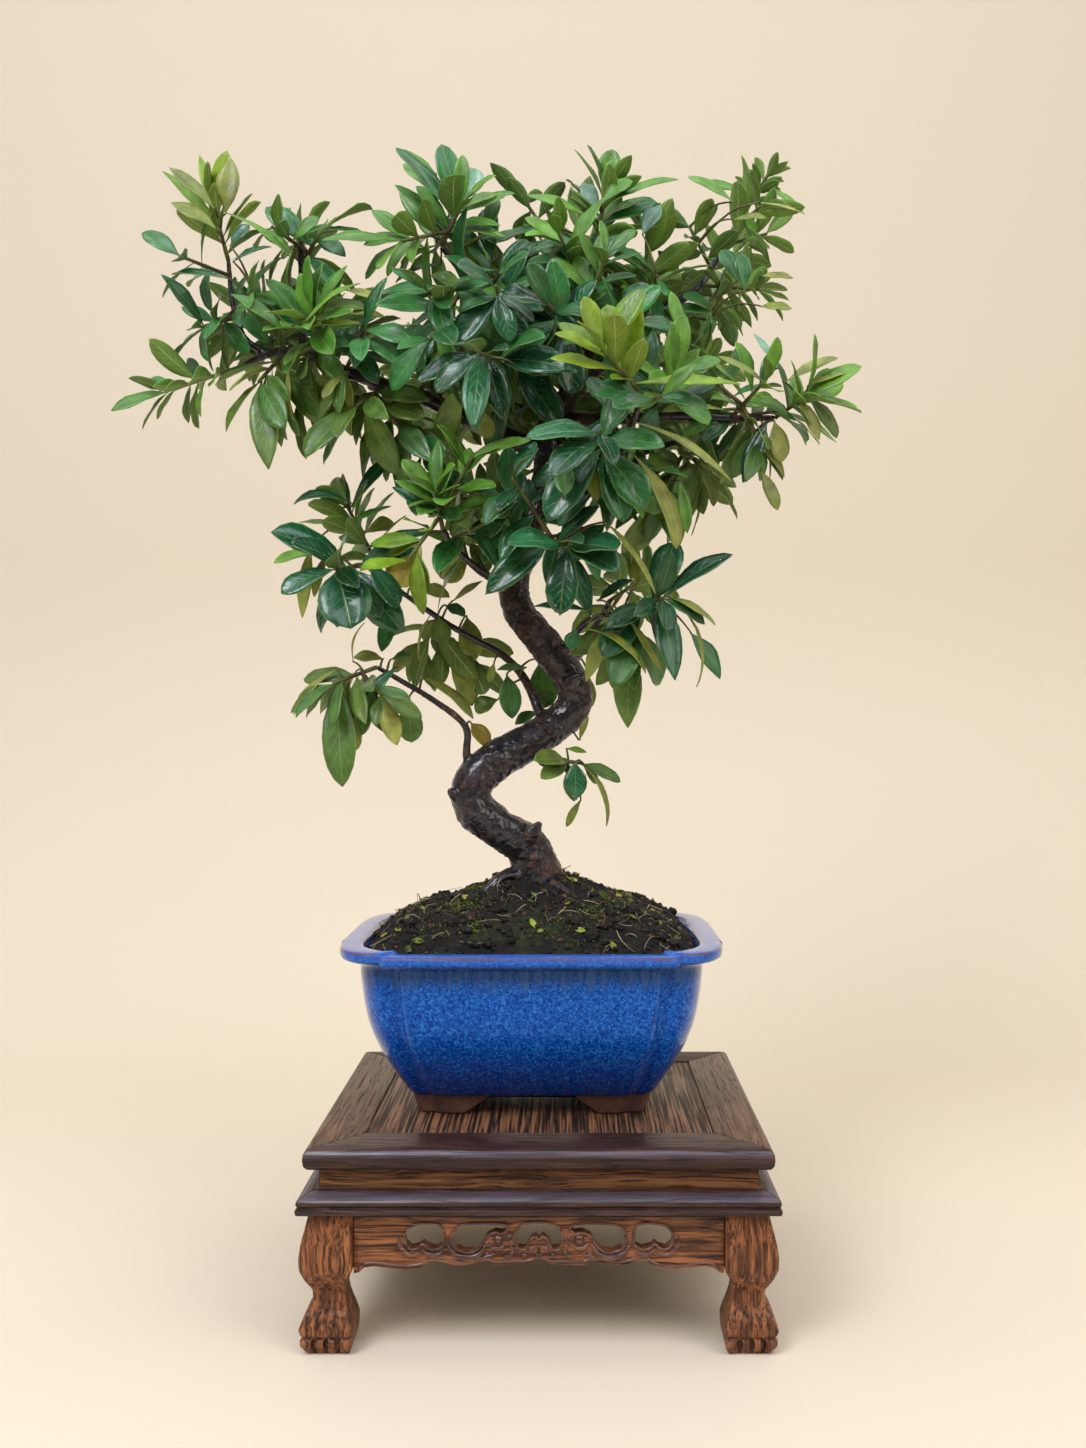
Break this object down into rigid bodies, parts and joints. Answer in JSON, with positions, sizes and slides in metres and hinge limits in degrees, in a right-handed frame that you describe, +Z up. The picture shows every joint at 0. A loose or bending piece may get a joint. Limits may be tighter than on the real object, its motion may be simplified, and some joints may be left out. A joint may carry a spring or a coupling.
{
  "type": "scarlet firethorn bonsai",
  "caption": "Scarlet firethorn bonsai with an S-shaped trunk and a broad leafy crown, in a blue glazed footed pot on a carved wooden stand.",
  "frame": {"origin": "on the floor, below the middle of the whole object's bounding box", "axes": "+Z up, -Y towards the front of the stand, +X to the right seen from the front"},
  "size_m": [0.398, 0.2304, 0.6287],
  "materials": {
    "frame_wood": "satin",
    "moulding_wood": "satin",
    "carved_wood": "satin",
    "panel_wood": "satin",
    "glaze": "gloss",
    "drain_mesh": "matte",
    "soil": "matte",
    "bark": "satin",
    "leaves_young": "satin",
    "leaves_bright": "satin",
    "leaves_dark": "satin",
    "leaves_wet": "gloss",
    "leaves_hanging": "satin"
  },
  "bodies": {
    "root": {"stand_rail_front": "frame_wood", "stand_rail_right": "frame_wood", "stand_rail_back": "frame_wood", "stand_rail_left": "frame_wood", "stand_moulding_front": "moulding_wood", "stand_moulding_right": "moulding_wood", "stand_moulding_back": "moulding_wood", "stand_moulding_left": "moulding_wood", "stand_apron_front": "carved_wood", "stand_apron_right": "carved_wood", "stand_apron_back": "carved_wood", "stand_apron_left": "carved_wood", "stand_panel": "panel_wood", "stand_leg_front_left": "carved_wood", "stand_leg_front_right": "carved_wood", "stand_leg_back_left": "carved_wood", "stand_leg_back_right": "carved_wood", "pot": "glaze", "drain_screen_left": "drain_mesh", "drain_screen_right": "drain_mesh", "trunk": "bark", "soil": "soil", "spray_left_top": "leaves_young", "spray_left_riser": "leaves_dark", "spray_left_stub": "leaves_dark", "spray_left_rosette": "leaves_bright", "spray_left_tip": "leaves_bright", "spray_left_under": "leaves_hanging", "spray_left_middle": "leaves_dark", "spray_left_hanging": "leaves_hanging", "spray_left_back": "leaves_dark", "spray_crown_left_top": "leaves_bright", "spray_crown_left_side": "leaves_dark", "spray_crown_left_inner": "leaves_wet", "spray_crown_left_front": "leaves_wet", "spray_crown_middle": "leaves_bright", "spray_crown_top": "leaves_bright", "spray_crown_centre": "leaves_wet", "spray_crown_young": "leaves_young", "spray_crown_right_inner": "leaves_dark", "spray_crown_right_middle": "leaves_bright", "spray_crown_right_top": "leaves_bright", "spray_right_tip": "leaves_bright", "spray_right_limb": "leaves_bright", "spray_right_front": "leaves_bright", "spray_front_right_big": "leaves_wet", "spray_right_fan_hanging": "leaves_hanging", "spray_front_low_big": "leaves_wet", "spray_upper_left_bright": "leaves_bright", "spray_middle_left_top": "leaves_bright", "spray_middle_left_big": "leaves_wet", "spray_middle_left_hanging": "leaves_hanging", "spray_lower_left_tip": "leaves_hanging", "spray_lower_right_front": "leaves_wet", "spray_low_twig": "leaves_hanging", "spray_back_crown": "leaves_bright", "spray_back_right": "leaves_bright", "spray_back_left": "leaves_bright", "spray_middle_back": "leaves_dark", "spray_low_back": "leaves_dark"}
  },
  "joints": []
}
